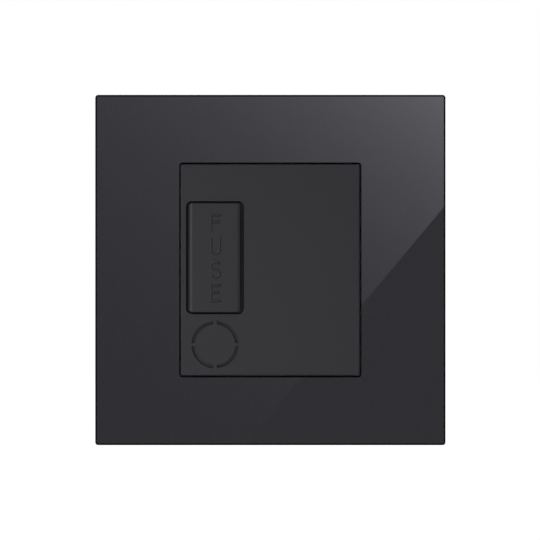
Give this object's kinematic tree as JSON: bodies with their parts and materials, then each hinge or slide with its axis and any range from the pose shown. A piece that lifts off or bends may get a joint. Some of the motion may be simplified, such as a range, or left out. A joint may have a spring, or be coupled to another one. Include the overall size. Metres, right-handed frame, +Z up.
{
  "type": "fused spur unit",
  "caption": "Square black glass fused spur wall unit with a pull-out fuse carrier, a pull-off front plate and a knock-out cord outlet.",
  "frame": {"origin": "centre of the plate on the wall plane, midway between the two fixing slots at the back of the yoke", "axes": "+Z up, the front faces -Y, the body reaches into the wall box along +Y, +X to the right seen from the front"},
  "size_m": [0.095, 0.0352, 0.095],
  "materials": {
    "black_glass": "polished, painted black on the back",
    "foam_tape": "closed-cell foam",
    "black_moulding": "fine satin moulding",
    "grey_moulding": "plain moulding",
    "plated_steel": "bright zinc plated",
    "brass": "drawn and machined",
    "plated_brass": "nickel plated",
    "screw_steel": "zinc plated",
    "ceramic": "unglazed"
  },
  "bodies": {
    "unit": {"support_yoke": "plated_steel", "front_insert": "black_moulding", "rear_housing": "grey_moulding", "supply_fuse_contact": "brass", "load_fuse_contact": "brass", "live_supply_terminal": "brass", "neutral_supply_terminal": "brass", "earth_supply_terminal": "brass", "live_load_terminal": "brass", "neutral_load_terminal": "brass", "earth_load_terminal": "brass", "neutral_link": "brass", "earth_straps": "brass", "terminal_screws": "screw_steel", "assembly_screws": "screw_steel"},
    "carrier": {"fuse_carrier": "black_moulding", "fuse_body": "ceramic", "fuse_end_caps": "plated_brass"},
    "cover": {"glass_plate": "black_glass", "bonding_tape": "foam_tape", "cover_frame": "black_moulding"},
    "clamp": {"cord_clamp_bar": "grey_moulding", "cord_clamp_screws": "screw_steel"}
  },
  "joints": [
    {"name": "fuse_carrier_pull", "type": "slide", "parent": "unit", "child": "carrier", "axis": [0, -1, 0], "range_m": [0, 0.0165]},
    {"name": "cover_pull", "type": "slide", "parent": "unit", "child": "cover", "axis": [0, -1, 0], "range_m": [0, 0.02]},
    {"name": "cord_clamp_lift", "type": "slide", "parent": "unit", "child": "clamp", "axis": [0, 1, 0], "range_m": [0, 0.003]}
  ]
}
